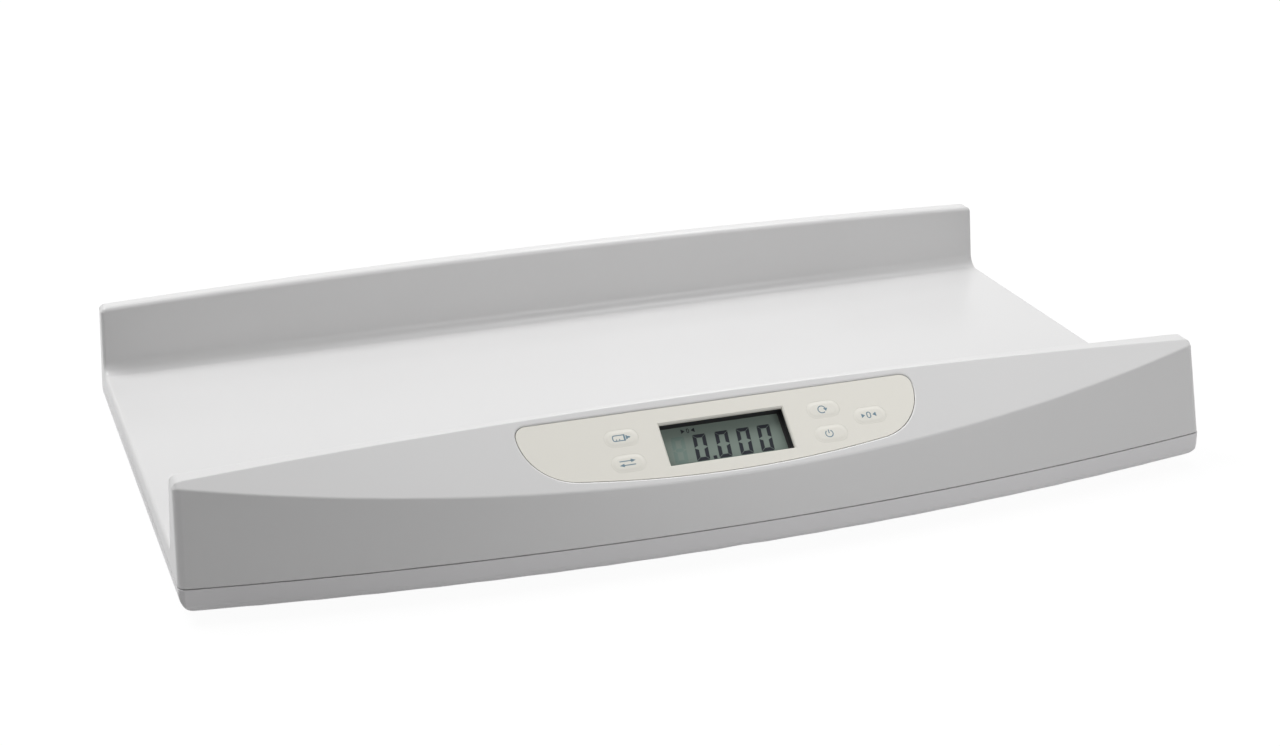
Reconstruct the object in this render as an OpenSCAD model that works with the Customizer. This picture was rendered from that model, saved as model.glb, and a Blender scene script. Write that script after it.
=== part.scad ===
/* [Overall] */
// Length from end to end
body_l = 550; // [520:5:600]
// Depth from the front of the bow to the back
body_d = 305; // [300:5:320]
// Height of the underside above the table
foot_h = 5; // [4:0.5:7]

/* [Heights above the underside] */
// Seam between the lower and the upper housing
seam_h = 13.1; // [12.8:0.1:15]
// Weighing tray
tray_h = 23; // [22.8:0.1:25]
// Rear wall at its ends
rear_h = 61.4; // [50:0.2:66]
// Front console at its ends
front_h = 63; // [60:0.1:66]
// Rise of the rear wall from its ends to its middle
rear_crown = 4.8; // [3:0.2:7]
// Rise of the console from its ends to its middle
front_crown = 5; // [4:0.2:7]

/* [Front console] */
// How far the bowed front stands out in the middle
bow = 24.2; // [20:0.2:28]
// Lean of the front face from upright
front_draft = 11.3; // [9:0.1:13]
// Tilt of the display facet from level
facet_angle = 38.2; // [36:0.2:40]
// Upper edge of the facet at the ends, behind the front of the bow
facet_back = 36.1; // [34:0.1:38]
// Inner face of the console, behind the front of the bow
console_t = 47.5; // [46:0.5:50]

/* [Walls and ends] */
// Thickness of the rear wall at its top
rear_t = 9.6; // [9:0.2:14]
// Lean of the rear wall's outer face
rear_draft = 1.2; // [0.5:0.1:2]
// Lean of the faces beside the tray
tray_draft = 2.5; // [1:0.1:3]
// Lean of the end faces
end_draft = 2.9; // [1:0.1:3]
// Thickness of the moulded walls
wall = 3; // [2.6:0.1:3.2]
// Hollow rounding from the tray to the rear wall
rear_fillet = 7.5; // [6:0.5:12]
// Hollow rounding from the tray to the console
front_fillet = 6; // [4:0.5:8]
// Rounding of the upright corners at the front
front_corner_r = 4; // [3:0.5:6]
// Rounding of the upright edges of the rear wall's ends
rear_corner_r = 2; // [1:0.5:4]
// Rounding of the walls' upper ends
top_end_r = 4; // [2:0.5:5]
// Rounding of the tray's end edges
tray_end_r = 2; // [1:0.5:3]
// Rounding of the lower housing at its ends
base_end_r = 10; // [8:0.5:12]
// Rounding of the lower housing's front and back edges
base_r = 5; // [4:0.5:6]

/* [Control panel] */
// Half of the panel's widest width
panel_half_w = 106.2; // [105:0.2:109]
// Panel above the middle of the display
panel_up = 20.9; // [20:0.1:21.5]
// Panel below the middle of the display
panel_down = 19.1; // [18:0.1:19.5]
// Width of the display opening
window_w = 66.2; // [60:0.2:68]
// Height of the display opening
window_h = 23.6; // [20:0.1:23.8]
// Depth of the display glass below the facet
glass_depth = 6.8; // [6:0.1:7]
// Length of a key
key_l = 17.5; // [16:0.1:18]
// Height of a key
key_h = 9.5; // [8.5:0.1:10]
// Travel of a key
key_travel = 0.4; // [0.2:0.05:0.4]

/* [Feet and cells] */
// Foot places from the middle, along the length
foot_x = 215; // [200:1:220]
// Foot places behind the middle
foot_back_y = 105; // [95:1:110]
// Foot places before the middle
foot_front_y = -82; // [-86:1:-75]
// Diameter of a foot
foot_d = 24; // [20:0.5:24]

/* [Battery bay] */
// Diameter of one AA cell
battery_d = 14.5; // [14:0.1:14.5]
// Length of one AA cell with its tip
battery_l = 50.5; // [49:0.1:50.5]

/* [Hidden] */

// Heights above the table
base_z = foot_h;
seam_z = base_z + seam_h;
tray_z = base_z + tray_h;
rear_z = base_z + rear_h;
front_z = base_z + front_h;
seam_gap = 0.5;
sky_z = front_z + front_crown + 20;
cut = 1; // how far a cutter runs past what it cuts
bite = 0.02; // how far the arc of a rounding runs over the two lines that it joins
root = 0.5; // how deep a post or a rib is rooted in the wall that carries it

// Plan
half_l = body_l / 2;
front_y = -body_d / 2;
rear_y = body_d / 2;
bow_r = (half_l * half_l + bow * bow) / (2 * bow);
bow_cy = front_y + bow_r;
bow_a = asin(half_l / bow_r);
inner_y = front_y + console_t;
rear_top_y = rear_y - (rear_z - seam_z) * tan(rear_draft);
rear_in_y = rear_top_y - rear_t;
end_bow_y = front_y + bow;

// The facet: its frame stands at the middle of the display
facet_y = front_y + facet_back;
window_drop = 17.3; // middle of the display below the facet's upper end edge, along the facet
window_y = facet_y - window_drop * cos(facet_angle);
window_z = front_z - window_drop * sin(facet_angle);
facet_wall = 4.6;

// Crown arcs
crown_half = half_l - (rear_z - seam_z) * tan(end_draft);
rear_crown_r = (crown_half * crown_half + rear_crown * rear_crown) / (2 * rear_crown);
front_crown_r = (crown_half * crown_half + front_crown * front_crown) / (2 * front_crown);

// Panel outline
panel_gap = 0.4;
panel_top = -0.4;
panel_t = 2;
panel_under = panel_top - panel_t;
panel_corner_r = 6;
panel_bottom_r = 594;
ledge = 2.6;

// Keys: [along, up] from the middle of the display
key_x = 54;
key_row = 7.1;
zero_x = 77.6;
key_places = [[-key_x, key_row], [-key_x, -key_row], [key_x, key_row], [key_x, -key_row], [zero_x, 0]];
key_gap = 0.15;
key_top = panel_top + 0.35;
key_flange = 0.8;
key_flange_t = 1;
key_stem_d = 5;
key_flange_top = panel_under - 0.3;

// Display and board, along the facet's normal
glass_size = [75, 29, 2.4];
glass_under = -glass_depth - glass_size[2];
zebra_h = 1.4;
board_top = glass_under - zebra_h;
board_t = 1.6;
board_size = [174, 27];
board_y = -0.8;
post_places = [[-41.5, 8.5], [41.5, 8.5], [-41.5, -8.5], [41.5, -8.5],
    [-66, 9], [66, 9], [-66, -9], [66, -9]];
post_d = 5;
dome_h = 0.5;
dome_d = 7;

// Screws: three sizes of one pan-head shape
screw_d = 3;
screw_head_d = 5.6;
screw_head_h = 2;
screw_clear = 0.05;
small_screw_d = 2;

// Shell screws and the posts that they join
shell_screw_places = [[-258, 128], [258, 128], [-120, 128], [120, 128], [-258, -60], [258, -60],
    [-120, -78], [120, -78], [0, -40], [0, 128]];
shell_post_d = 9;
shell_split_z = 17;
shell_head_z = 9;

// Floor of the lower housing
floor_t = 2.5;
floor_z = base_z + floor_t;

// Load cells
cell_w = 34;
cell_t = 2.5;
cell_z = 11;
foot_places = [[-foot_x, foot_back_y], [foot_x, foot_back_y],
    [-foot_x, foot_front_y], [foot_x, foot_front_y]];
foot_hole_d = foot_d + 1.6;
clamp_w = 40;
clamp_ear = 25;

// Battery bay
bay_gap = 0.4;
bay_w = 4 * battery_d + 5 * bay_gap;
bay_end = 4.2;
bay_l = battery_l + 2 * bay_end;
bay_y = 18;
bay_wall = 1.6;
door_t = 1.9;
door_w = bay_w + 2 * bay_wall + 4;
bay_floor_z = base_z + door_t + 0.3;
bay_roof_z = bay_floor_z + battery_d + 0.5;
door_axis_z = base_z + 3.2;
door_axis_y = bay_y - 5.5;
knuckle_r = 3.4;
door_gap = 0.3;
door_far_y = bay_y + bay_l + 9;
door_pin_d = 2.4;
door_pin_l = 2.6;
door_screw_y = door_far_y - 5.2;

// ---------- small tools ----------

function unit(v) = v / norm(v);

// A place in the facet's frame as a place in the object's frame
function on_facet(p) = [p[0],
    window_y + p[1] * cos(facet_angle) - p[2] * sin(facet_angle),
    window_z + p[1] * sin(facet_angle) + p[2] * cos(facet_angle)];

module at_facet() {
    translate([0, window_y, window_z]) rotate([facet_angle, 0, 0]) children();
}

module both_ends() {
    children();
    mirror([1, 0, 0]) children();
}

// What is left outside a rolled corner between two lines that meet at p, with outward normals m and n
module corner_sliver(p, m, n, r) {
    k = (r - bite) / (1 + m * n);
    c = p - k * (m + n);
    tm = c + (r - bite) * m;
    tn = c + (r - bite) * n;
    difference() {
        polygon([c, tm, tm + cut * m, p + cut * (m + n), tn + cut * n, tn]);
        translate(c) circle(r = r, $fn = 64);
    }
}

// The same along a straight edge in space, from the distance a to the distance b past p
module edge_cutter(p, m, n, r, a, b) {
    u = unit(cross(m, n));
    w = cross(u, m);
    multmatrix([[m[0], w[0], u[0], p[0]], [m[1], w[1], u[1], p[1]], [m[2], w[2], u[2], p[2]], [0, 0, 0, 1]])
        translate([0, 0, a]) linear_extrude(b - a) corner_sliver([0, 0], [1, 0], [n * m, n * w], r);
}

// A profile drawn as [y, z] and drawn out along the length
module along_x(x0, x1) {
    translate([x0, 0, 0]) rotate([90, 0, 90]) linear_extrude(x1 - x0) children();
}

// A profile drawn as [x, z] and drawn out along the depth
module along_y(y0, y1) {
    translate([0, y1, 0]) rotate([90, 0, 0]) linear_extrude(y1 - y0) children();
}

// A profile drawn as [distance below the crown, y], swept along the crown's arc
module along_crown(top_z, crown_r) {
    sweep = 2 * asin((half_l + 5) / crown_r);
    translate([0, 0, top_z - crown_r]) rotate([90, 0, 0]) rotate([0, 0, 90 - sweep / 2])
        rotate_extrude(angle = sweep, $fn = 3000) mirror([0, 1]) translate([crown_r, 0]) mirror([1, 0])
            children();
}

// Everything behind the bowed front, inset by t, from z0 to z1
module behind_bow(t, z0, z1) {
    lean = tan(front_draft);
    translate([0, bow_cy, z0]) cylinder(h = z1 - z0, r1 = bow_r - t - (z0 - seam_z) * lean,
        r2 = bow_r - t - (z1 - seam_z) * lean, $fn = 900);
}

module pan_screw(d, head_d, head_h, l) {
    cylinder(h = l, d = d, $fn = 24);
    translate([0, 0, -head_h]) difference() {
        cylinder(h = head_h, d = head_d, $fn = 32);
        for (a = [0, 90]) rotate([0, 0, a]) translate([-head_d * 0.3, -0.3, -cut])
            cube([head_d * 0.6, 0.6, cut + head_h * 0.5]);
    }
}

// ---------- upper housing ----------

function end_normal() = [cos(end_draft), 0, sin(end_draft)];

// Ends of the upper housing, inset by t, as the space between two leaning planes
module between_ends(t, z1) {
    x0 = half_l - t;
    x1 = x0 - (z1 - seam_z) * tan(end_draft);
    x_low = x0 + 10 * tan(end_draft);
    along_y(front_y - 10, rear_y + 10)
        polygon([[-x_low, seam_z - 10], [x_low, seam_z - 10], [x1, z1], [-x1, z1]]);
}

module rear_wall_profile(t) {
    // distance below the crown grows downwards
    top_z = rear_z + rear_crown;
    deep = top_z - seam_z + 10;
    difference() {
        polygon([[t, rear_in_y + t], [t, rear_top_y - t],
            [deep, rear_top_y - t + (deep - rear_crown) * tan(rear_draft)],
            [deep, rear_in_y + t - deep * tan(tray_draft)]]);
        if (t == 0) {
            corner_sliver([0, rear_top_y], [-1, 0], [-sin(rear_draft), cos(rear_draft)], 2);
            corner_sliver([0, rear_in_y], [-1, 0], [-sin(tray_draft), -cos(tray_draft)], 3);
        }
    }
}

module rear_wall_solid(t) {
    along_crown(rear_z + rear_crown, rear_crown_r) rear_wall_profile(t);
}

// Side profile of the console: tray face, facet and far front
module console_profile(t, facet_t) {
    lean = tan(tray_draft);
    rise = tan(facet_angle);
    drop = facet_t / cos(facet_angle);
    y_in = inner_y - t;
    far = front_y - 10;
    polygon([[y_in + (front_z - seam_z + 10) * lean, seam_z - 10],
        [y_in - (y_in - facet_y) * rise * lean, front_z + (y_in - facet_y) * rise - drop],
        [far, front_z + (far - facet_y) * rise - drop], [far, seam_z - 10]]);
}

module crown_cap_profile(t) {
    deep = front_z + front_crown - seam_z + 30;
    difference() {
        polygon([[t, front_y - 20], [t, inner_y - t], [deep, inner_y - t + deep * tan(tray_draft)],
            [deep, front_y - 20]]);
        if (t == 0) corner_sliver([0, inner_y], [-1, 0], [-sin(tray_draft), cos(tray_draft)], 3);
    }
}

module console_solid(t, facet_t) {
    intersection() {
        along_x(-half_l - 5, half_l + 5) console_profile(t, facet_t);
        along_crown(front_z + front_crown, front_crown_r) crown_cap_profile(t);
        behind_bow(t, seam_z - 10, sky_z);
    }
}

// Tray floor with its hollow roundings up to both walls
module tray_profile() {
    foot_y = rear_in_y - (rear_z - tray_z) * tan(tray_draft);
    front_foot_y = inner_y + (front_z - tray_z) * tan(tray_draft);
    difference() {
        polygon([[front_foot_y - 8, seam_z - 10], [foot_y + 8, seam_z - 10],
            [foot_y + 8, tray_z + rear_fillet], [foot_y - rear_fillet, tray_z + rear_fillet],
            [foot_y - rear_fillet, tray_z], [front_foot_y + front_fillet, tray_z],
            [front_foot_y + front_fillet, tray_z + front_fillet], [front_foot_y - 8, tray_z + front_fillet]]);
        translate([foot_y - rear_fillet, tray_z + rear_fillet]) circle(r = rear_fillet, $fn = 96);
        translate([front_foot_y + front_fillet, tray_z + front_fillet])
            circle(r = front_fillet, $fn = 96);
        translate([foot_y - rear_fillet - 1, tray_z + rear_fillet - 0.01]) square([rear_fillet + 9, 1]);
    }
}

// Outline of the panel: a straight top, and side arcs that run smoothly into the long lower arc
module panel_outline(grow) {
    half_w = panel_half_w + grow;
    up = panel_up + grow;
    split_y = panel_up - panel_corner_r;
    rise = panel_bottom_r - panel_down - split_y;
    side_r = (pow(panel_bottom_r, 2) - pow(panel_half_w, 2) - pow(rise, 2))
        / (2 * (panel_bottom_r - panel_half_w));
    side_x = panel_half_w - side_r;
    meet_x = side_x * panel_bottom_r / (panel_bottom_r - side_r);
    tall = 60;
    difference() {
        intersection() {
            translate([0, panel_bottom_r - panel_down]) circle(r = panel_bottom_r + grow, $fn = 900);
            translate([-half_w, up - tall]) square([2 * half_w, tall]);
        }
        for (s = [-1, 1]) {
            corner_sliver([s * half_w, up], [s, 0], [0, 1], panel_corner_r + grow);
            difference() {
                translate([s > 0 ? meet_x : -half_w - cut, split_y - tall])
                    square([half_w + cut - meet_x, tall]);
                translate([s * side_x, split_y]) circle(r = side_r + grow + bite, $fn = 180);
            }
        }
    }
}

module top_outer() {
    intersection() {
        union() {
            rear_wall_solid(0);
            console_solid(0, 0);
            along_x(-half_l - 5, half_l + 5) tray_profile();
        }
        between_ends(0, sky_z);
        translate([-half_l - 10, front_y - 10, seam_z + seam_gap / 2])
            cube([body_l + 20, body_d + 20, sky_z]);
    }
}

// Hollow under the tray, inside the rear wall and inside the console
module top_hollow() {
    under_z = tray_z - wall;
    low = seam_z - cut;
    intersection() {
        translate([-half_l, front_y, low]) cube([body_l, body_d - wall, under_z - low]);
        between_ends(wall, under_z);
        behind_bow(wall, low, under_z);
    }
    intersection() {
        rear_wall_solid(wall);
        translate([-half_l + wall + 3, 0, low]) cube([body_l - 2 * wall - 6, rear_y, sky_z]);
    }
    intersection() {
        console_solid(wall, facet_wall);
        translate([-half_l + wall + 3, front_y, low]) cube([body_l - 2 * wall - 6, body_d / 2, sky_z]);
    }
}

// Rolled edges of the two end faces and of the four upright corners
module top_edge_cutters() {
    e = end_normal();
    up = [0, 0, 1];
    front_n = unit([sin(bow_a), -cos(bow_a), tan(front_draft)]);
    rear_n = [0, cos(rear_draft), sin(rear_draft)];
    rear_in_n = [0, -cos(tray_draft), sin(tray_draft)];
    console_in_n = [0, cos(tray_draft), sin(tray_draft)];
    facet_n = [0, -sin(facet_angle), cos(facet_angle)];
    tray_x = half_l - (tray_z - seam_z) * tan(end_draft);
    rear_x = half_l - (rear_z - seam_z) * tan(end_draft);
    front_x = half_l - (front_z - seam_z) * tan(end_draft);
    tall = sky_z - seam_z;
    foot_y = rear_in_y - (rear_z - tray_z) * tan(tray_draft);
    front_foot_y = inner_y + (front_z - tray_z) * tan(tray_draft);
    both_ends() {
        edge_cutter([half_l, end_bow_y, seam_z], front_n, e, front_corner_r, -5, tall);
        edge_cutter([half_l, rear_y, seam_z], e, rear_n, rear_corner_r, -5, tall);
        edge_cutter([tray_x, foot_y, tray_z], rear_in_n, e, rear_corner_r, rear_fillet, tall);
        edge_cutter([tray_x, front_foot_y, tray_z], e, console_in_n, rear_corner_r, front_fillet, tall);
        edge_cutter([tray_x, foot_y - rear_fillet, tray_z], up, e, tray_end_r,
            0, foot_y - rear_fillet - front_foot_y - front_fillet);
        edge_cutter([rear_x, rear_y + 5, rear_z], up, e, top_end_r, 0, rear_t + 10);
        edge_cutter([front_x, inner_y + 5, front_z], up, e, top_end_r, 0, inner_y + 5 - facet_y);
        edge_cutter([front_x, facet_y, front_z], facet_n, e, top_end_r, 0, facet_back);
    }
}

// Stiffening ribs and screw bosses on the inside
module top_inside() {
    rib_t = 1.8;
    rib_h = 5 + root;
    rib_low = tray_z - wall + root - rib_h;
    for (y = [-60, -10, 95]) translate([-half_l + wall, y, rib_low]) cube([body_l - 2 * wall, rib_t, rib_h]);
    for (x = [60, 130, 185, 245]) both_ends()
        translate([x, inner_y - 3, rib_low]) cube([rib_t, rear_y - inner_y, rib_h]);
    for (x = [0 : 60 : 240]) both_ends() intersection() {
        rear_wall_solid(wall - root);
        translate([x - rib_t / 2, rear_in_y - 5, tray_z - wall]) cube([rib_t, rear_t + 10, rear_h]);
    }
    for (p = shell_screw_places) translate([p[0], p[1], shell_split_z])
        cylinder(h = tray_z - wall + root - shell_split_z, d = shell_post_d - 1, $fn = 40);
}

module top_shell() {
    color([0.93, 0.93, 0.93]) difference() {
        union() {
            difference() {
                top_outer();
                top_hollow();
            }
            intersection() {
                top_inside();
                translate([-half_l + 2, front_y + 20, shell_split_z]) cube([body_l - 4, body_d - 22, sky_z]);
            }
        }
        top_edge_cutters();
        at_facet() {
            translate([0, 0, panel_under]) linear_extrude(10) panel_outline(panel_gap / 2);
            translate([0, 0, -facet_wall - 1.5]) linear_extrude(facet_wall + 2) intersection() {
                panel_outline(-ledge);
                translate([-board_size[0] / 2 - 2, -30]) square([board_size[0] + 4, 60]);
            }
        }
        for (p = shell_screw_places) translate([p[0], p[1], shell_split_z - cut])
            cylinder(h = 6 + cut, d = screw_d + 2 * screw_clear, $fn = 24);
    }
}

// ---------- lower housing ----------

// Outer form, inset by t all round; its top stands at z1
module base_form(t, z1) {
    z0 = base_z + t;
    intersection() {
        translate([0, bow_cy, 0]) rotate([0, 0, -90 - 14]) rotate_extrude(angle = 28, $fn = 900)
            difference() {
                translate([bow_r - 340, z0]) square([340 - t, z1 - z0]);
                corner_sliver([bow_r - t, z0], [1, 0], [0, -1], base_r - min(t, base_r - 1));
            }
        along_y(front_y - 10, rear_y + 10) difference() {
            translate([-half_l + t, z0]) square([body_l - 2 * t, z1 - z0]);
            for (s = [-1, 1]) corner_sliver([s * (half_l - t), z0], [s, 0], [0, -1], base_end_r - t);
        }
        along_x(-half_l - 10, half_l + 10) difference() {
            translate([front_y - 20, z0]) square([rear_y + 20 - front_y - t, z1 - z0]);
            corner_sliver([rear_y - t, z0], [1, 0], [0, -1], base_r - min(t, base_r - 1));
        }
    }
}

module bay_block(grow, z0, z1) {
    translate([-bay_w / 2 - grow, bay_y - grow, z0]) cube([bay_w + 2 * grow, bay_l + 2 * grow, z1 - z0]);
}

// Opening in the floor that the door fills, with its ledge and knuckle groove
module door_opening() {
    w = door_w;
    translate([-w / 2 - door_gap, door_axis_y, base_z - cut])
        cube([w + 2 * door_gap, door_far_y + door_gap - door_axis_y, door_t + 0.3 + cut]);
    translate([-w / 2 - door_gap, door_axis_y, door_axis_z]) rotate([0, 90, 0])
        cylinder(h = w + 2 * door_gap, r = knuckle_r + door_gap, $fn = 64);
    translate([-w / 2 - door_gap, door_axis_y - knuckle_r - door_gap, base_z - cut])
        cube([w + 2 * door_gap, knuckle_r + door_gap, door_axis_z - base_z + cut]);
}

// Blocks beside the door in which its two pins turn
module door_bearings(z0) {
    block = [4, 9, 5];
    for (s = [-1, 1]) translate([s * (door_w / 2 + door_gap + block[0] / 2) - block[0] / 2,
        door_axis_y - block[1] / 2, z0]) cube(block);
}

module door_pin_bores() {
    reach = door_w / 2 + door_pin_l + door_gap;
    translate([-reach, door_axis_y, door_axis_z]) rotate([0, 90, 0])
        cylinder(h = 2 * reach, d = door_pin_d + 0.15, $fn = 32);
}

module bottom_shell() {
    rib_t = 1.6;
    root_z = floor_z - root;
    rib_h = 2.4 + root;
    tongue_gap = 0.5;
    tongue_t = 1.3;
    tongue_h = 1.4;
    tongue_in = wall + tongue_gap + tongue_t;
    clamp_post_d = 8;
    foot_wall = 2.5;
    screw_block = 9;
    color([0.9, 0.9, 0.91]) difference() {
        union() {
            difference() {
                base_form(0, seam_z - seam_gap / 2);
                base_form(wall, sky_z);
            }
            // tongue that closes the seam from inside
            intersection() {
                difference() {
                    base_form(wall - root, sky_z);
                    base_form(tongue_in, sky_z);
                }
                union() {
                    translate([-half_l, front_y, seam_z - 4]) cube([body_l, body_d, 4 - seam_gap]);
                    intersection() {
                        base_form(wall + tongue_gap, sky_z);
                        translate([-half_l, front_y, seam_z - 1]) cube([body_l, body_d, 1 + tongue_h]);
                    }
                }
            }
            intersection() {
                base_form(wall - root, sky_z);
                union() {
                    for (y = [-100, -50, 0, 90]) translate([-half_l, y, root_z]) cube([body_l, rib_t, rib_h]);
                    for (x = [55, 110, 165, 250]) both_ends() translate([x, front_y, root_z])
                        cube([rib_t, body_d, rib_h]);
                }
            }
            for (p = shell_screw_places) translate([p[0], p[1], root_z])
                cylinder(h = shell_split_z - root_z, d = shell_post_d, $fn = 40);
            for (p = foot_places) translate([p[0], p[1], root_z]) {
                cylinder(h = cell_z - root_z, d = foot_hole_d + 2 * foot_wall, $fn = 64);
                for (s = [-1, 1]) translate([s * clamp_ear, 0, 0])
                    cylinder(h = cell_z - root_z, d = clamp_post_d, $fn = 32);
            }
            bay_block(bay_wall, root_z, bay_roof_z + bay_wall);
            translate([-screw_block / 2, door_screw_y - screw_block / 2, root_z]) cube(screw_block);
            door_bearings(root_z);
        }
        bay_block(0, base_z - cut, bay_roof_z);
        door_opening();
        door_pin_bores();
        translate([0, door_screw_y, base_z]) cylinder(h = screw_block, d = screw_d + 0.8, $fn = 24);
        for (p = shell_screw_places) translate([p[0], p[1], 0]) {
            cylinder(h = shell_head_z + screw_head_h, d = screw_head_d + 1, $fn = 32);
            cylinder(h = shell_split_z + cut, d = screw_d + 0.4, $fn = 24);
        }
        for (p = foot_places) translate([p[0], p[1], 0]) {
            cylinder(h = cell_z + cut, d = foot_hole_d, $fn = 64);
            for (s = [-1, 1]) translate([s * clamp_ear, 0, floor_z])
                cylinder(h = 10, d = screw_d + 2 * screw_clear, $fn = 24);
        }
        both_ends() {
            edge_cutter([half_l, end_bow_y, base_z], [sin(bow_a), -cos(bow_a), 0], [1, 0, 0],
                front_corner_r, -5, seam_h + 10);
            edge_cutter([half_l, rear_y, base_z], [1, 0, 0], [0, 1, 0], rear_corner_r, -5, seam_h + 10);
        }
    }
}

// ---------- control panel and display ----------

module pill(l, h) {
    translate([-(l - h) / 2, -h / 2]) square([l - h, h]);
    for (s = [-1, 1]) translate([s * (l - h) / 2, 0]) circle(d = h, $fn = 64);
}

// Rectangular opening through the panel, with its upper edges sloped back by c
module window_cut(w, h, c) {
    top = panel_top;
    intersection() {
        along_y(-h, h) polygon([[-w / 2, -20], [w / 2, -20], [w / 2, top - c], [w / 2 + c + 1, top + 1],
            [-w / 2 - c - 1, top + 1], [-w / 2, top - c]]);
        along_x(-w, w) polygon([[-h / 2, -20], [h / 2, -20], [h / 2, top - c], [h / 2 + c + 1, top + 1],
            [-h / 2 - c - 1, top + 1], [-h / 2, top - c]]);
    }
}

module control_panel() {
    post_h = panel_under - board_top;
    color([0.86, 0.85, 0.80]) at_facet() difference() {
        union() {
            translate([0, 0, panel_under]) linear_extrude(panel_t) panel_outline(-panel_gap / 2);
            for (p = post_places) translate([p[0], p[1], board_top])
                cylinder(h = post_h + 0.5, d = post_d, $fn = 32);
        }
        window_cut(window_w, window_h, 0.7);
        for (p = key_places) translate([p[0], p[1], -10]) linear_extrude(20)
            pill(key_l + 2 * key_gap, key_h + 2 * key_gap);
        for (p = post_places) translate([p[0], p[1], board_top - cut])
            cylinder(h = post_h - 1 + cut, d = small_screw_d + 2 * screw_clear, $fn = 24);
    }
}

module lcd_light_frame() {
    h = glass_depth + panel_under;
    frame = 1.6;
    color([0.05, 0.05, 0.06]) at_facet() translate([0, 0, -glass_depth]) difference() {
        linear_extrude(h) square([window_w + 2 * frame, window_h + 2 * frame], center = true);
        translate([0, 0, -cut]) linear_extrude(h + 2 * cut)
            square([window_w + 0.4, window_h + 0.4], center = true);
    }
}

module lcd_glass() {
    s = glass_size;
    step = 2.6;
    color([0.47, 0.52, 0.48]) at_facet() {
        translate([-s[0] / 2, -s[1] / 2 + step, glass_under + s[2] / 2])
            cube([s[0], s[1] - 2 * step, s[2] / 2]);
        translate([-s[0] / 2, -s[1] / 2, glass_under]) cube([s[0], s[1], s[2] / 2]);
    }
}

module lcd_zebra_strips() {
    l = 68;
    w = 1.8;
    from_edge = 0.6;
    far = glass_size[1] / 2 - from_edge;
    color([0.9, 0.55, 0.6]) at_facet() for (y = [-far, far - w])
        translate([-l / 2, y, board_top]) cube([l, w, zebra_h]);
}

module main_board() {
    color([0.1, 0.4, 0.22]) at_facet() difference() {
        translate([-board_size[0] / 2, board_y - board_size[1] / 2, board_top - board_t])
            cube([board_size[0], board_size[1], board_t]);
        for (p = post_places) translate([p[0], p[1], board_top - board_t - cut])
            cylinder(h = board_t + 2 * cut, d = small_screw_d + 0.4, $fn = 24);
    }
}

// Chips, converter and plug sockets on the board's back
module board_components() {
    under = board_top - board_t;
    color([0.12, 0.12, 0.13]) at_facet() {
        translate([-7, -8, under - 1.6]) cube([14, 14, 1.6]);
        translate([22, -6, under - 1.4]) cube([8, 10, 1.4]);
        translate([-28, -5, under - 1.4]) cube([6, 9, 1.4]);
        for (x = [-76, 76]) translate([x - 5, -6, under - 5]) cube([10, 6, 5]);
        translate([50, -6, under - 5]) cube([6, 6, 5]);
    }
}

module board_screws() {
    under = board_top - board_t;
    color("silver") at_facet() for (p = post_places) translate([p[0], p[1], under])
        pan_screw(small_screw_d, 3.8, 1.3, board_t + 5);
}

module key_cap(i) {
    p = key_places[i];
    cap_low = key_flange_top - root;
    stem_low = board_top + dome_h + 0.3 + key_travel;
    color([0.87, 0.86, 0.81]) at_facet() translate([p[0], p[1], 0]) {
        translate([0, 0, cap_low]) linear_extrude(key_top - cap_low) pill(key_l, key_h);
        translate([0, 0, key_flange_top - key_flange_t]) linear_extrude(key_flange_t)
            pill(key_l + 2 * key_flange, key_h + 2 * key_flange);
        translate([0, 0, stem_low]) cylinder(h = cap_low - stem_low, d = key_stem_d, $fn = 32);
    }
}

module key_feed() { key_cap(0); }
module key_unit() { key_cap(1); }
module key_reweigh() { key_cap(2); }
module key_power() { key_cap(3); }
module key_zero() { key_cap(4); }

// Snap domes under the keys
module key_domes() {
    rim = dome_d / 2;
    ball_r = (rim * rim + dome_h * dome_h) / (2 * dome_h);
    color("silver") at_facet() for (p = key_places) translate([p[0], p[1], board_top]) intersection() {
        translate([0, 0, dome_h - ball_r]) sphere(r = ball_r, $fn = 180);
        cylinder(h = dome_h + cut, r = rim, $fn = 48);
    }
}

// ---------- feet and load cells ----------

module load_cells() {
    arm = 4;
    tongue = 12;
    color([0.75, 0.75, 0.77]) for (p = foot_places) translate([p[0], p[1], cell_z]) difference() {
        translate([-cell_w / 2, -cell_w / 2, 0]) cube([cell_w, cell_w, cell_t]);
        difference() {
            translate([-cell_w / 2 + arm, -cell_w / 2 + arm, -cut])
                cube([cell_w - 2 * arm, cell_w - 2 * arm, cell_t + 2 * cut]);
            translate([-tongue / 2, -tongue / 2, -2 * cut]) cube([tongue, cell_w, cell_t + 4 * cut]);
            translate([-cell_w / 2, cell_w / 2 - arm - 5, -2 * cut]) cube([cell_w, 9, cell_t + 4 * cut]);
        }
    }
}

module load_cell_clamps() {
    h = cell_t + 2;
    color([0.2, 0.2, 0.22]) for (p = foot_places) translate([p[0], p[1], cell_z]) difference() {
        union() {
            translate([-clamp_w / 2, -clamp_w / 2, 0]) cube([clamp_w, clamp_w, h]);
            for (s = [-1, 1]) translate([s * clamp_ear, 0, 0]) cylinder(h = h, d = 8, $fn = 32);
            translate([-clamp_ear, -4, 0]) cube([2 * clamp_ear, 8, h]);
        }
        translate([-cell_w / 2 - 0.2, -cell_w / 2 - 0.2, -cut])
            cube([cell_w + 0.4, cell_w + 0.4, cell_t + cut]);
        translate([-cell_w / 2 + 3, -cell_w / 2 + 3, -cut]) cube([cell_w - 6, cell_w - 6, h + 2 * cut]);
        for (s = [-1, 1]) translate([s * clamp_ear, 0, -cut])
            cylinder(h = h + 2 * cut, d = screw_d + 0.4, $fn = 24);
    }
}

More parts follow.
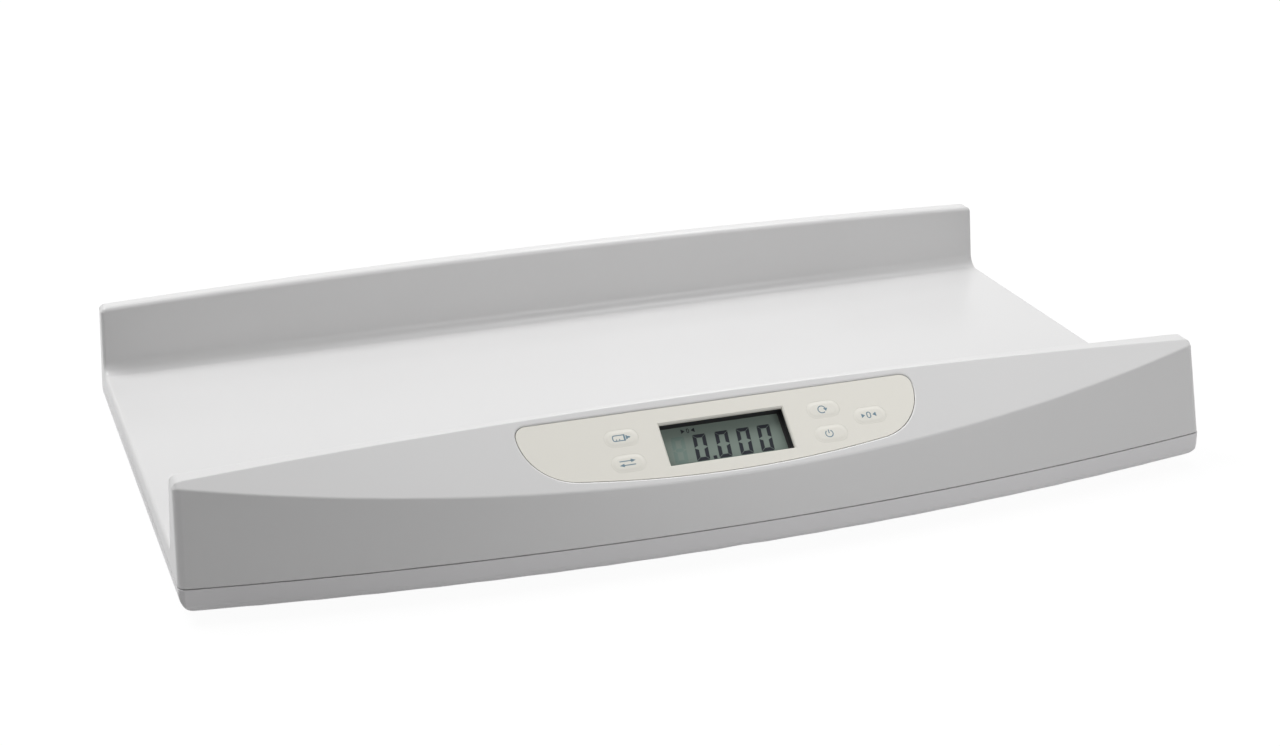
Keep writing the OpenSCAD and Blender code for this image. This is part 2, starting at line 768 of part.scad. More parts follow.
module clamp_screws() {
    top = cell_z + cell_t + 2;
    color("silver") for (p = foot_places) for (s = [-1, 1])
        translate([p[0] + s * clamp_ear, p[1], top]) mirror([0, 0, 1])
            pan_screw(screw_d, screw_head_d, screw_head_h, 7);
}

// Plastic cup that holds the rubber and presses on the cell's tongue
module foot_cups() {
    color([0.85, 0.85, 0.86]) for (p = foot_places) translate([p[0], p[1], 0]) {
        difference() {
            translate([0, 0, 1.6]) cylinder(h = 6.4, d = foot_d, $fn = 64);
            translate([0, 0, 0]) cylinder(h = 3.2, d = foot_d - 3, $fn = 64);
        }
        translate([0, 0, 8]) cylinder(h = cell_z - 8, d = 7, $fn = 32);
    }
}

module foot_pads() {
    pad_d = foot_d - 3.2;
    color([0.35, 0.35, 0.36]) for (p = foot_places) translate([p[0], p[1], 0]) difference() {
        rotate_extrude($fn = 64) difference() {
            square([pad_d / 2, 3.2]);
            corner_sliver([pad_d / 2, 0], [1, 0], [0, -1], 0.8);
        }
        for (a = [0, 60, 120]) rotate([0, 0, a]) translate([-pad_d / 4, -0.5, -cut])
            cube([pad_d / 2, 1, cut + 0.5]);
    }
}

// ---------- battery bay ----------

module battery_door() {
    w = door_w;
    grip_half = 9;
    grip_pitch = 2.4;
    color([0.9, 0.9, 0.91]) difference() {
        union() {
            intersection() {
                translate([-w / 2, door_axis_y - knuckle_r, base_z])
                    cube([w, 2 * knuckle_r, knuckle_r * 2]);
                translate([-w / 2, door_axis_y, door_axis_z]) rotate([0, 90, 0])
                    cylinder(h = w, r = knuckle_r, $fn = 64);
            }
            translate([-w / 2, door_axis_y, base_z]) cube([w, door_far_y - door_axis_y, door_t]);
            translate([-w / 2 - door_pin_l, door_axis_y, door_axis_z]) rotate([0, 90, 0])
                cylinder(h = w + 2 * door_pin_l, d = door_pin_d, $fn = 32);
        }
        translate([0, door_screw_y, base_z - cut]) cylinder(h = door_t + 2 * cut, d = screw_d + 0.3, $fn = 24);
        translate([0, door_screw_y, base_z - cut]) cylinder(h = 1 + cut, d = screw_head_d + 0.6, $fn = 32);
        for (i = [0 : 4]) translate([-grip_half, door_far_y - 14 - grip_pitch * i, base_z - cut])
            cube([2 * grip_half, 1, cut + 0.4]);
    }
}

module battery_door_screw() {
    color("silver") translate([0, door_screw_y, base_z + 1])
        pan_screw(screw_d - 0.1, screw_head_d - 0.2, 0.8, 5);
}

module batteries() {
    tip = 1.2;
    can_l = battery_l - tip;
    pitch = battery_d + bay_gap;
    z = bay_floor_z + battery_d / 2 + 0.1;
    for (i = [0 : 3]) {
        flip = i % 2;
        color([0.75, 0.6, 0.3]) translate([(i - 1.5) * pitch, bay_y + bay_l / 2, z]) rotate([90, 0, 180 * flip])
            translate([0, 0, -battery_l / 2]) {
                cylinder(h = can_l, d = battery_d, $fn = 64);
                translate([0, 0, can_l]) cylinder(h = tip, d = 5.2, $fn = 32);
            }
    }
}

// Leaf contacts: a back plate with a springy folded blade
module battery_contacts() {
    pitch = battery_d + bay_gap;
    z0 = bay_floor_z + 2;
    blade = 10;
    tall = 11;
    t = 0.4;
    fold = bay_end - 0.3;
    fold_z = tall / 2;
    for (i = [0 : 3]) for (s = [0, 1])
        color("silver") translate([(i - 1.5) * pitch, bay_y + bay_l / 2, 0]) rotate([0, 0, 180 * s])
            translate([-blade / 2, -bay_l / 2 + 0.1, z0]) rotate([90, 0, 90]) linear_extrude(blade)
                polygon([[0, 0], [t, 0], [t, tall - 1.8], [fold, fold_z], [fold, fold_z + 1.6 * t],
                    [t, tall], [0, tall]]);
}

// ---------- fasteners and leads ----------

module shell_screws() {
    color("silver") for (p = shell_screw_places) translate([p[0], p[1], shell_head_z + screw_head_h])
        pan_screw(screw_d, screw_head_d, screw_head_h, 10.5);
}

// Directions square to the route, carried along it without twist
function carried(ts, i) =
    let (before = i == 0 ? unit([0.3, 0.5, 0.8]) : carried(ts, i - 1)) unit(before - (before * ts[i]) * ts[i]);

// A lead through the given places, eight-sided in section
module lead(places, d) {
    sides = 8;
    n = len(places);
    steps = [for (i = [0 : n - 2]) unit(places[i + 1] - places[i])];
    ts = [for (i = [0 : n - 1]) i == 0 ? steps[0] : i == n - 1 ? steps[n - 2] : unit(steps[i - 1] + steps[i])];
    rings = [for (i = [0 : n - 1]) let (u = carried(ts, i), v = cross(ts[i], u))
        for (k = [0 : sides - 1]) places[i] + d / 2 * (cos(360 * k / sides) * u + sin(360 * k / sides) * v)];
    walls = [for (i = [0 : n - 2]) for (k = [0 : sides - 1])
        let (a = i * sides + k, b = i * sides + (k + 1) % sides)
            for (f = [[a, a + sides, b], [b, a + sides, b + sides]]) f];
    start = [for (k = [1 : sides - 2]) [0, k, k + 1]];
    last = (n - 1) * sides;
    finish = [for (k = [1 : sides - 2]) [last, last + k + 1, last + k]];
    polyhedron(rings, concat(walls, start, finish));
}

module cell_leads() {
    d = 2;
    z = floor_z + 3.8;
    under = board_top - board_t - 5;
    plug = on_facet([76, -3, under]);
    plug_off = on_facet([76, -3, under - 5]);
    lane = 142;
    color([0.15, 0.15, 0.16]) both_ends() {
        lead([[foot_x - clamp_ear - 5, foot_back_y, z], [lane, foot_back_y, z], [lane, -116, z],
            [76, -116, z], [76, plug_off[1], 24], plug_off, plug], d);
        lead([[foot_x - clamp_ear - 5, foot_front_y, z], [lane + 4, foot_front_y, z], [lane + 4, -120, z],
            [79, -120, z], [79, plug_off[1], 24], plug_off + [3, 0, 0], plug + [3, 0, 0]], d);
    }
}

module battery_leads() {
    d = 1.6;
    z = floor_z + 3.8;
    under = board_top - board_t - 5;
    plug = on_facet([53, -3, under]);
    plug_off = on_facet([53, -3, under - 5]);
    side = bay_w / 2 + bay_wall + 1.2;
    color([0.7, 0.1, 0.1]) lead([[side, bay_y + 6, z], [side + 6, bay_y, z], [side + 6, -112, z],
        [53, -112, z], [53, plug_off[1], 24], plug_off, plug], d);
}

top_shell();
bottom_shell();
control_panel();
lcd_light_frame();
lcd_glass();
lcd_zebra_strips();
main_board();
board_components();
board_screws();
key_feed();
key_unit();
key_reweigh();
key_power();
key_zero();
key_domes();
load_cells();
load_cell_clamps();
clamp_screws();
foot_cups();
foot_pads();
battery_door();
battery_door_screw();
batteries();
battery_contacts();
shell_screws();
cell_leads();
battery_leads();
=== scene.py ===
"""Looks of a digital baby weighing scale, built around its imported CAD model.

Lengths are in millimetres, as in the part's source, until M turns them into metres.
"""

import math

import bmesh
import bpy
from mathutils import Euler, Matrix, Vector
from mathutils.geometry import delaunay_2d_cdt


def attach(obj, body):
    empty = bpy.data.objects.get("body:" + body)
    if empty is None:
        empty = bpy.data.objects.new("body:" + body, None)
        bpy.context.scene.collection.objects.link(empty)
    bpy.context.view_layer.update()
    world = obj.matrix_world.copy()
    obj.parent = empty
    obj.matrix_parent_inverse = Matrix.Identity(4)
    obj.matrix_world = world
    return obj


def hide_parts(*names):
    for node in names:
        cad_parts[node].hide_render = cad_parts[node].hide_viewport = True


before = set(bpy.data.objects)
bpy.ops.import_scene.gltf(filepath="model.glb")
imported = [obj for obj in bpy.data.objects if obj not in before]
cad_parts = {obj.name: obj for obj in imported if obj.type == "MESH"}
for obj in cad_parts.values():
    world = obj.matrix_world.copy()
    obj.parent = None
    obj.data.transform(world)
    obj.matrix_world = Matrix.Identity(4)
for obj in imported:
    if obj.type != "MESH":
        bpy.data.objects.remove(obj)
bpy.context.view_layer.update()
M = 0.001

# ---------- sizes of the object ----------

HALF_L = 275.0
FRONT_Y = -152.5
REAR_Y = 152.5
SEAM_Z = 18.1
TRAY_Z = 28.0
REAR_Z = 66.4
FRONT_Z = 68.0
SEAM_GAP = 0.5
REAR_CROWN = 4.8
FRONT_CROWN = 4.99
BOW = 24.2
FACET_A = math.radians(38.2)
FACET_Y = FRONT_Y + 36.1
INNER_Y = FRONT_Y + 47.5
REAR_T = 9.6
FRONT_LEAN = math.tan(math.radians(11.3))
REAR_LEAN = math.tan(math.radians(1.2))
TRAY_LEAN = math.tan(math.radians(2.5))
END_LEAN = math.tan(math.radians(2.9))
WALL = 3.0

BOW_R = (HALF_L ** 2 + BOW ** 2) / (2 * BOW)
BOW_CY = FRONT_Y + BOW_R
REAR_TOP_Y = REAR_Y - (REAR_Z - SEAM_Z) * REAR_LEAN
REAR_IN_Y = REAR_TOP_Y - REAR_T
CROWN_HALF = HALF_L - (REAR_Z - SEAM_Z) * END_LEAN
SHELL_LOW = SEAM_Z + SEAM_GAP / 2

# Roundings of the upper housing's edges
SEAM_EDGE_R = 0.25
CREASE_R = 2.2
FACET_TOP_R = 1.6
INNER_TOP_R = 3.0
FRONT_FOOT_R = 6.0
REAR_FOOT_R = 7.5
REAR_IN_R = 3.0
REAR_OUT_R = 2.0
FRONT_CORNER_R = 4.0
REAR_CORNER_R = 2.0
TOP_END_R = 4.0
TRAY_END_R = 2.0
CREASE_STEPS = 8
ROLL_STEPS = 8

# Stations along the length at which the housing's section is taken, with the bays outside the
# facet's middle part counted on the outer and on the inner skin
FILL_X = 120.0
STATION_STEP = 5.0
OUTER_BAYS = 30
INNER_BAYS = 12

# Facet frame: its origin is the middle of the display
WINDOW_DROP = 17.3
WINDOW_Y = FACET_Y - WINDOW_DROP * math.cos(FACET_A)
WINDOW_Z = FRONT_Z - WINDOW_DROP * math.sin(FACET_A)

# Control panel
PANEL_HALF_W = 106.2
PANEL_UP = 20.9
PANEL_DOWN = 19.1
PANEL_CORNER_R = 6.0
PANEL_BOTTOM_R = 594.0
PANEL_GAP = 0.4
PANEL_TOP = -0.4
PANEL_UNDER = PANEL_TOP - 2.0
# top of the dark strip painted into the panel's gap as shade
GAP_SHADE_TOP = -1.1
LEDGE = 2.6
RIM_R = 1.15
RIM_TURN = math.radians(50)
RIM_STEPS = 5
FACET_WALL = 4.6

# Display
GLASS_TOP = -6.8
FIELD_U, FIELD_V = 31.9, 11.75
EDGE_W = 1.4
INK_T = 0.03
UNDER_INK_T = 0.02

# Figures: places along the display, foot, size, and the strokes' width, gaps and cut corners
LIT_LEFTS = [-16.9, -5.0, 6.45, 17.7]
RESTING_LEFT = -28.3
DIGIT_FOOT = -8.5
DIGIT_W = 6.9
DIGIT_H = 15.0
DIGIT_LEAN = math.tan(math.radians(5.4))
STROKE_W = 1.98
STROKE_GAP = 0.14
STROKE_CUT = 0.3

# Decimal point, and the small nought between two pointers
POINT_LEFT, POINT_RIGHT, POINT_TOP = -8.0, -6.1, -6.6
ZERO_AT = (-17.0, 9.25)
ZERO_HALF_W, ZERO_HALF_H, ZERO_LINE = 0.5, 1.1, 0.36
POINTER_TIP, POINTER_BACK, POINTER_HALF_H = 1.6, 3.6, 1.25

# Keys: places on the facet, and the top of their caps
KEYS = {
    "feed": (-54.0, 7.1),
    "unit": (-54.0, -7.1),
    "reweigh": (54.0, 7.1),
    "power": (54.0, -7.1),
    "zero": (77.6, 0.0),
}
KEY_L, KEY_H = 17.5, 9.5
CAP_TOP = PANEL_TOP + 0.2
CAP_GROW = 0.11
PILLOW_W = 2.4
PILLOW_STEPS = 14
KEY_FLANGE = 0.8
FLANGE_TOP = PANEL_UNDER - 0.3
FLANGE_T = 1.0
STEM_R = 2.5
STEM_LOW = -9.4

# ---------- small tools ----------


def crown_drop(x, rise):
    r = (CROWN_HALF ** 2 + rise ** 2) / (2 * rise)
    return r - math.sqrt(r * r - x * x)


def end_x(z):
    return HALF_L - (z - SEAM_Z) * END_LEAN


def bow_y(x, z, inset=0.0):
    r = BOW_R - inset - (z - SEAM_Z) * FRONT_LEAN
    return BOW_CY - math.sqrt(r * r - x * x)


def on_facet(u, v, w=0.0):
    """A place on the facet, in its own frame, as a place in the object's frame."""
    c, s = math.cos(FACET_A), math.sin(FACET_A)
    return Vector((u, WINDOW_Y + v * c - w * s, WINDOW_Z + v * s + w * c))


def facet_uv(p):
    c, s = math.cos(FACET_A), math.sin(FACET_A)
    return Vector((p.x, (p.y - WINDOW_Y) * c + (p.z - WINDOW_Z) * s))


def arc(centre, r, a0, a1, steps):
    """Points and outward normals along an arc, with the angles in degrees."""
    out = []
    for i in range(steps + 1):
        a = math.radians(a0 + (a1 - a0) * i / steps)
        n = Vector((math.cos(a), math.sin(a)))
        out.append((Vector(centre) + r * n, n))
    return out


def rounded(corners):
    """Places along a path of (place, radius, steps), with an arc in each corner that has steps."""
    out = []
    for i, (p, r, steps) in enumerate(corners):
        if not steps:
            out.append(p)
            continue
        a = (corners[i - 1][0] - p).normalized()
        b = (corners[i + 1][0] - p).normalized()
        half = a.angle(b) / 2
        bisector = (a + b).normalized()
        centre = p + bisector * (r / math.sin(half))
        start = p + a * (r / math.tan(half)) - centre
        turn = start.angle_signed(p + b * (r / math.tan(half)) - centre)
        for k in range(steps + 1):
            t = -turn * k / steps
            out.append(centre + Vector((start.x * math.cos(t) - start.y * math.sin(t),
                                        start.x * math.sin(t) + start.y * math.cos(t))))
    return out


def ring(bm, places):
    return [bm.verts.new(Vector(p) * M) for p in places]


def bridge(bm, a, b, closed=True):
    n = len(a)
    for i in range(n if closed else n - 1):
        j = (i + 1) % n
        quad = [a[i], a[j], b[j], b[i]]
        kept = [v for k, v in enumerate(quad) if v is not quad[k - 1]]
        if len(set(kept)) > 2:
            bm.faces.new(kept)


def fill(bm, outer, holes, flat):
    """Triangles between an outer loop of vertices and convex holes, all in one plane."""
    loops = [outer, *holes]
    verts = [v for loop in loops for v in loop]
    edges, start = [], 0
    for loop in loops:
        n = len(loop)
        edges += [(start + i, start + (i + 1) % n) for i in range(n)]
        start += n
    faces = [list(range(len(outer)))]
    found = delaunay_2d_cdt([flat(v.co / M) for v in verts], edges, faces, 1, 1e-7)
    owner = [k for k, loop in enumerate(loops) for _ in loop]
    for f in found[2]:
        ids = [found[3][i][0] for i in f]
        owners = {owner[i] for i in ids}
        if len(owners) == 1 and owners != {0}:
            continue
        bm.faces.new([verts[i] for i in ids])


def finish_mesh(name, bm, material, body, replaced=()):
    bmesh.ops.recalc_face_normals(bm, faces=bm.faces)
    mesh = bpy.data.meshes.new(name)
    bm.to_mesh(mesh)
    bm.free()
    mesh.shade_smooth()
    piece = bpy.data.objects.new(name, mesh)
    bpy.context.collection.objects.link(piece)
    piece.data.materials.append(material)
    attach(piece, body)
    if replaced:
        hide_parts(*replaced)
    return piece


def weigh_normals(piece):
    mod = piece.modifiers.new("weighted_normals", "WEIGHTED_NORMAL")
    mod.mode = "FACE_AREA"
    mod.weight = 50
    mod.keep_sharp = True


# ---------- materials ----------


PLASTIC_IOR = 1.5
CLOUD_SCALE = 9.0
GLOSS_SPREAD = 0.06
GRAIN_DEPTH = 0.02


def plastic(name, colour, rough, grain=0.0, grain_size=0.35, mottle=0.015, shine=0.5):
    """Moulded plastic with a fine spark-eroded grain and a slight unevenness of colour and gloss."""
    mat = bpy.data.materials.new(name)
    mat.use_nodes = True
    nodes, links = mat.node_tree.nodes, mat.node_tree.links
    bsdf = nodes["Principled BSDF"]
    bsdf.inputs["IOR"].default_value = PLASTIC_IOR
    bsdf.inputs["Specular IOR Level"].default_value = shine
    place = nodes.new("ShaderNodeTexCoord")

    cloud = nodes.new("ShaderNodeTexNoise")
    cloud.inputs["Scale"].default_value = CLOUD_SCALE
    cloud.inputs["Detail"].default_value = 3.0
    links.new(place.outputs["Object"], cloud.inputs["Vector"])
    tone = nodes.new("ShaderNodeMix")
    tone.data_type = "RGBA"
    tone.inputs["A"].default_value = (*[c * (1 - mottle) for c in colour], 1)
    tone.inputs["B"].default_value = (*[min(1, c * (1 + mottle)) for c in colour], 1)
    links.new(cloud.outputs["Fac"], tone.inputs["Factor"])
    links.new(tone.outputs["Result"], bsdf.inputs["Base Color"])

    gloss = nodes.new("ShaderNodeMapRange")
    gloss.inputs["To Min"].default_value = rough - GLOSS_SPREAD / 2
    gloss.inputs["To Max"].default_value = rough + GLOSS_SPREAD / 2
    links.new(cloud.outputs["Fac"], gloss.inputs["Value"])
    links.new(gloss.outputs["Result"], bsdf.inputs["Roughness"])

    if grain:
        fine = nodes.new("ShaderNodeTexNoise")
        fine.inputs["Scale"].default_value = 1 / (grain_size * M)
        fine.inputs["Detail"].default_value = 2.0
        links.new(place.outputs["Object"], fine.inputs["Vector"])
        bump = nodes.new("ShaderNodeBump")
        bump.inputs["Strength"].default_value = grain
        bump.inputs["Distance"].default_value = GRAIN_DEPTH * M
        links.new(fine.outputs["Fac"], bump.inputs["Height"])
        links.new(bump.outputs["Normal"], bsdf.inputs["Normal"])
    return mat


def metal(name, colour, rough):
    mat = plastic(name, colour, rough, grain=0.2, grain_size=0.2)
    mat.node_tree.nodes["Principled BSDF"].inputs["Metallic"].default_value = 1.0
    return mat


SHELL = plastic("shell_white_satin", (0.722, 0.719, 0.719), 0.32, grain=0.12)
BASE = plastic("base_white_satin", (0.765, 0.757, 0.766), 0.34, grain=0.12)
PANEL = plastic("panel_cream_satin", (0.825, 0.806, 0.742), 0.36, grain=0.05, mottle=0.006)
BLACK = plastic("frame_black_matte", (0.006, 0.006, 0.007), 0.6)
LCD = plastic("display_grey_green", (0.205, 0.253, 0.223), 0.45, mottle=0.02, shine=0.25)
DIGIT = plastic("display_segment", (0.020, 0.023, 0.030), 0.5, shine=0.15)
GHOST = plastic("display_resting_segment", (0.162, 0.226, 0.201), 0.45, shine=0.25)
# dark brown painted shade for the shadowed gap round the control panel
GAP_SHADE = plastic("gap_shade_brown", (0.10, 0.072, 0.055), 0.6)
LEGEND = plastic("legend_blue_grey", (0.15, 0.245, 0.305), 0.5)
RUBBER = plastic("rubber_dark", (0.05, 0.05, 0.05), 0.75, grain=0.3)
FOOT = plastic("foot_grey", (0.62, 0.62, 0.62), 0.5)
BOARD = plastic("board_green", (0.02, 0.12, 0.05), 0.35)
STRIP = plastic("strip_rubber", (0.55, 0.3, 0.3), 0.7)
JACKET = plastic("battery_jacket", (0.05, 0.07, 0.09), 0.3)
RED = plastic("lead_red", (0.35, 0.02, 0.02), 0.45)
STEEL = metal("steel_zinc", (0.62, 0.62, 0.62), 0.32)
NICKEL = metal("contact_nickel", (0.72, 0.71, 0.68), 0.25)

# ---------- upper housing ----------


def profile(t, inset, facet_inset=None, skin=False):
    """Section of the housing at the share t of its half length, from the front seam to the rear seam.

    Returns the places and the numbers of those that bound the facet's flat."""
    x_at = lambda z: t * end_x(z)
    facet_inset = inset if facet_inset is None else facet_inset
    tan_a = math.tan(FACET_A)

    def facet_z(y):
        return FRONT_Z + (y - FACET_Y) * tan_a - facet_inset / math.cos(FACET_A)

    crease = Vector((0.0, 60.0))
    for _ in range(30):
        crease.x = bow_y(x_at(crease.y), crease.y, inset)
        crease.y = 0.5 * (crease.y + facet_z(crease.x))
    front_top = FRONT_Z + FRONT_CROWN - crown_drop(x_at(FRONT_Z), FRONT_CROWN) - inset
    rear_crown_z = REAR_Z + REAR_CROWN - crown_drop(x_at(REAR_Z), REAR_CROWN)
    facet_top_y = FACET_Y + (front_top + facet_inset / math.cos(FACET_A) - FRONT_Z) / tan_a
    tray = TRAY_Z - inset

    def inner_y(z):
        return INNER_Y - inset + (FRONT_Z - z) * TRAY_LEAN

    def rear_in_y(z):
        return REAR_IN_Y + inset - (rear_crown_z - z) * TRAY_LEAN

    def rear_out_y(z):
        return REAR_Y - inset - (z - SEAM_Z) * REAR_LEAN

    tight = lambda r: max(r - inset, 0.35)
    loose = lambda r: r + inset
    rear_top = rear_crown_z - inset
    front_seam = Vector((bow_y(x_at(SHELL_LOW), SHELL_LOW, inset), SHELL_LOW))
    rear_seam = Vector((rear_out_y(SHELL_LOW), SHELL_LOW))
    corners = [
        (crease, tight(CREASE_R), CREASE_STEPS),
        (Vector((facet_top_y, front_top)), tight(FACET_TOP_R), 6),
        (Vector((inner_y(front_top), front_top)), tight(INNER_TOP_R), 10),
        (Vector((inner_y(tray), tray)), loose(FRONT_FOOT_R), 12),
        (Vector((rear_in_y(tray), tray)), loose(REAR_FOOT_R), 14),
        (Vector((rear_in_y(rear_top), rear_top)), tight(REAR_IN_R), 10),
        (Vector((rear_out_y(rear_top), rear_top)), tight(REAR_OUT_R), 8),
    ]
    if skin:
        corners = [(front_seam, 0, 0), *corners, (rear_seam, 0, 0)]
        first = 1 + CREASE_STEPS
    else:
        under = WALL - min(inset, WALL - 0.05)
        corners = [
            (front_seam + Vector((under, 0)), 0, 0), (front_seam, SEAM_EDGE_R, 3), *corners,
            (rear_seam, SEAM_EDGE_R, 3), (rear_seam - Vector((under, 0)), 0, 0),
        ]
        first = 5 + CREASE_STEPS
    places = rounded(corners)
    return [Vector((x_at(p.y), p.x, p.y)) for p in places], first, first + 1


def end_radii():
    """Radius of the rolled end edge at each place of the section, blended round its corners."""
    front, top, tray, rear = FRONT_CORNER_R, TOP_END_R, TRAY_END_R, REAR_CORNER_R
    out = []
    corners = (
        (5, front, front), (CREASE_STEPS + 1, front, top), (7, top, top), (11, top, tray), (13, tray, tray),
        (15, tray, rear), (11, rear, top), (9, top, rear), (5, rear, rear),
    )
    for count, a, b in corners:
        out += [a + (b - a) * i / (count - 1) for i in range(count)]
    return out


def rolled_row(side, turn):
    """Section at an end face, rolled over by the given part of a quarter turn."""
    a = math.radians(90 * turn)
    radii = end_radii()
    sections = {}
    for r in set(radii):
        back, inset = r * (1 - math.sin(a)), r * (1 - math.cos(a))
        sections[r] = profile(side * (HALF_L - back) / HALF_L, inset)[0]
    return [sections[r][i] for i, r in enumerate(radii)]


def stations(last, bays):
    """Places along the length, evenly spaced over the middle part and in bays from there to the last."""
    xs = [-FILL_X, FILL_X]
    middle = round(FILL_X / STATION_STEP) - 1
    xs += [i * STATION_STEP for i in range(-middle, middle + 1)]
    xs += [s * (FILL_X + i * (last - FILL_X) / bays) for i in range(1, bays + 1) for s in (-1, 1)]
    return sorted(xs)


def panel_outline(grow, w):
    """The control panel's outline, grown by grow, at the height w over the facet."""
    r, half = PANEL_BOTTOM_R, PANEL_HALF_W
    split = PANEL_UP - PANEL_CORNER_R
    rise = r - PANEL_DOWN - split
    side_r = (r * r - half * half - rise * rise) / (2 * (r - half))
    side_x = half - side_r
    meet = math.degrees(math.atan2(side_x, rise))
    corner_x = half - PANEL_CORNER_R
    right = arc((corner_x, split), PANEL_CORNER_R, 90, 0, 14)
    right += arc((side_x, split), side_r, 0, -90 + meet, 24)[1:]
    bottom = arc((0, r - PANEL_DOWN), r, -90 + meet, -90 - meet, 44)[1:-1]
    left = [(Vector((-p.x, p.y)), Vector((-n.x, n.y))) for p, n in reversed(right)]
    top = [(Vector((-corner_x + 2 * corner_x * i / 44, PANEL_UP)), Vector((0, 1))) for i in range(1, 44)]
    return [on_facet(*(p + grow * n), w) for p, n in right + bottom + left + top]


def facet_loop(rows, first, second):
    """The loop of vertices round the facet's flat between two stations."""
    return [r[first] for r in rows] + [r[second] for r in reversed(rows)]


def skin_rows(bm, xs, inset, skin, facet_inset=None):
    rows = []
    for x in xs:
        places, first, second = profile(x / HALF_L, inset, facet_inset=facet_inset, skin=skin)
        rows.append(ring(bm, places))
    return rows, first, second


def bridge_rows(bm, rows, xs, first, second):
    """Joins the rows, and returns the loop that is left open round the panel."""
    inside = [r for r, x in zip(rows, xs) if abs(x) <= FILL_X]
    for a, b, xa, xb in zip(rows, rows[1:], xs, xs[1:]):
        if abs(xa) <= FILL_X and abs(xb) <= FILL_X:
            bridge(bm, a[:first + 1], b[:first + 1], closed=False)
            bridge(bm, a[second:], b[second:], closed=False)
        else:
            bridge(bm, a, b, closed=False)
    return facet_loop(inside, first, second)


def make_top_shell():
    bm = bmesh.new()
    xs = stations(HALF_L - FRONT_CORNER_R - 2, OUTER_BAYS)
    rows, first, second = skin_rows(bm, xs, 0.0, False)

    # rolled end edges
    for side in (-1, 1):
        added = [ring(bm, rolled_row(side, k / ROLL_STEPS)) for k in range(ROLL_STEPS + 1)]
        if side < 0:
            rows = [*reversed(added), *rows]
            xs = [-HALF_L] * len(added) + xs
        else:
            rows = [*rows, *added]
            xs = xs + [HALF_L] * len(added)
    outer_hole = bridge_rows(bm, rows, xs, first, second)
    bm.faces.new(rows[0])
    bm.faces.new(list(reversed(rows[-1])))

    # hollow inside
    in_xs = stations(HALF_L - WALL - 3, INNER_BAYS)
    in_rows, i_first, i_second = skin_rows(bm, in_xs, WALL, True, facet_inset=FACET_WALL)
    inner_hole = bridge_rows(bm, in_rows, in_xs, i_first, i_second)
    bm.faces.new(in_rows[0])
    bm.faces.new(list(reversed(in_rows[-1])))

    # underside between the outer and the inner skin
    for pick in (0, -1):
        outer = [r[pick] for r in rows]
        inner = [r[pick] for r in in_rows]
        bm.faces.new(outer + list(reversed(inner)))
    for k in (0, -1):
        bm.faces.new([rows[k][0], rows[k][-1], in_rows[k][-1], in_rows[k][0]])

    # pocket for the panel
    half_gap = PANEL_GAP / 2
    loops = []
    for k in range(RIM_STEPS + 1):
        a = RIM_TURN * k / RIM_STEPS
        loops.append((half_gap + RIM_R * (math.sin(RIM_TURN) - math.sin(a)), -RIM_R * (1 - math.cos(a))))
    loops += [(half_gap, PANEL_UNDER), (-LEDGE, PANEL_UNDER), (-LEDGE, -FACET_WALL)]
    made = [ring(bm, panel_outline(g, w)) for g, w in loops]
    for a, b in zip(made, made[1:]):
        bridge(bm, a, b)
    fill(bm, outer_hole, [made[0]], facet_uv)
    fill(bm, inner_hole, [made[-1]], facet_uv)
    piece = finish_mesh("upper_housing", bm, SHELL, "scale_body", ["top_shell"])
    weigh_normals(piece)
    return piece


make_top_shell()

# ---------- pieces that keep their CAD shape ----------

LOOKS = {
    "bottom_shell": BASE, "battery_door": BASE, "control_panel": PANEL, "lcd_light_frame": BLACK,
    "lcd_glass": LCD, "lcd_zebra_strips": STRIP, "main_board": BOARD, "board_components": BLACK,
    "board_screws": STEEL, "key_domes": NICKEL, "load_cells": STEEL, "load_cell_clamps": BLACK,
    "clamp_screws": STEEL, "foot_cups": FOOT, "foot_pads": RUBBER, "battery_door_screw": STEEL,
    "batteries": JACKET, "battery_contacts": NICKEL, "shell_screws": STEEL, "cell_leads": RUBBER,
    "battery_leads": RED,
}
for name, material in LOOKS.items():
    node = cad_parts[name]
    node.data.materials.clear()
    node.data.materials.append(material)


def soften(name, width):
    """Rounds the edges of a CAD node by a modifier."""
    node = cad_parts[name]
    mod = node.modifiers.new("rounded_edges", "BEVEL")
    mod.width = width * M
    mod.segments = 3
    mod.limit_method = "ANGLE"
    mod.angle_limit = math.radians(30)
    mod.harden_normals = True


def make_gap_shade():
    """Dark brown strip deep in the gap round the control panel: painted shade for the shadowed gap."""
    bm = bmesh.new()
    half_w, low = PANEL_GAP / 2 - 0.01, PANEL_UNDER + 0.02
    places = ((-half_w, low), (half_w, low), (half_w, GAP_SHADE_TOP), (-half_w, GAP_SHADE_TOP))
    made = [ring(bm, panel_outline(g, w)) for g, w in places]
    for a, b in zip(made, made[1:] + made[:1]):
        bridge(bm, a, b)
    finish_mesh("panel_gap_shade", bm, GAP_SHADE, "scale_body")


make_gap_shade()
soften("control_panel", 0.06)
soften("bottom_shell", 0.3)

# ---------- keys ----------


def pill_outline(grow, steps=16):
    """Outline of a key, grown by grow, as [along, up] places from its middle."""
    r, straight = KEY_H / 2 + grow, (KEY_L - KEY_H) / 2
    right = arc((straight, 0), r, -90, 90, steps)
    left = arc((-straight, 0), r, 90, 270, steps)
    return [p for p, _ in right + left]


def round_outline(r, steps=24):
    return [p for p, _ in arc((0, 0), r, 0, 360, steps)[:-1]]


def solid_of_rings(bm, centre, rings):
    """Closed solid through rings of (outline, height) on the facet, from the lowest up."""
    made = []
    for outline, height in rings:
        made.append(ring(bm, [on_facet(centre[0] + q.x, centre[1] + q.y, height) for q in outline]))
    for a, b in zip(made, made[1:]):
        bridge(bm, a, b)
    bm.faces.new(list(reversed(made[0])))
    bm.faces.new(made[-1])


